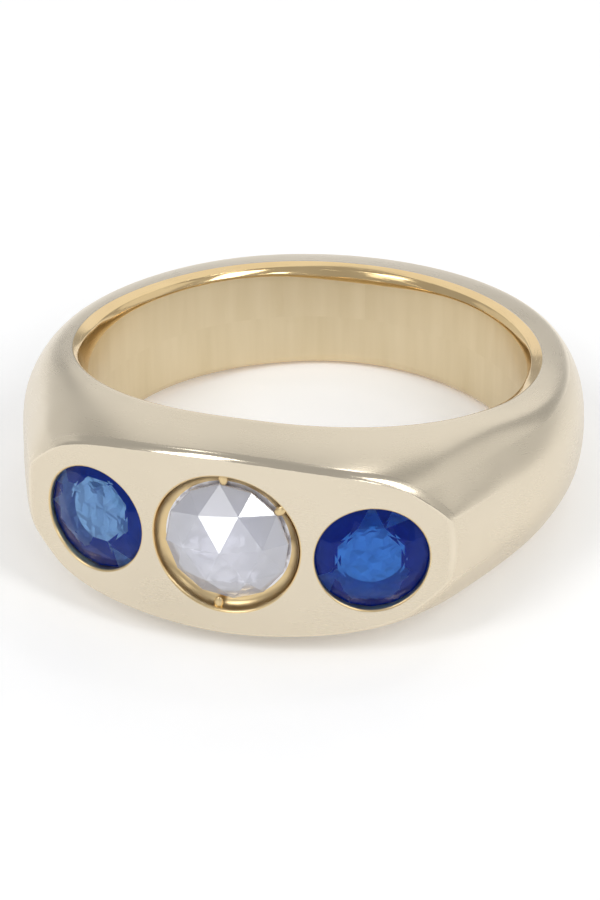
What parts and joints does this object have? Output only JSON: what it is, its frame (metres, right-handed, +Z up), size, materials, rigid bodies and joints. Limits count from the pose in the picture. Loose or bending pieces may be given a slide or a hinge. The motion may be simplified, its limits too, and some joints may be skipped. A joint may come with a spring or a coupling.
{
  "type": "three-stone gold band ring",
  "caption": "Gold finger ring: a tapering band widens to a flat, gently curved head with a rose-cut diamond set flush between round blue sapphires.",
  "frame": {"origin": "centre of the finger hole, halfway along its wall", "axes": "+Z up with the ring lying on its side, -Y from the finger hole to the head's table, +X to the right of someone who looks at the table; the finger hole's axis leans from +Z towards +Y by about 6 degrees"},
  "size_m": [0.0224, 0.0234, 0.0086],
  "materials": {
    "gold": "satin pale yellow gold, polished in the bevels of the finger hole and round the stones",
    "diamond": "polished facets",
    "sapphire": "polished facets"
  },
  "bodies": {
    "root": {"band": "gold", "diamond": "diamond", "sapphire_left": "sapphire", "sapphire_right": "sapphire"}
  },
  "joints": []
}
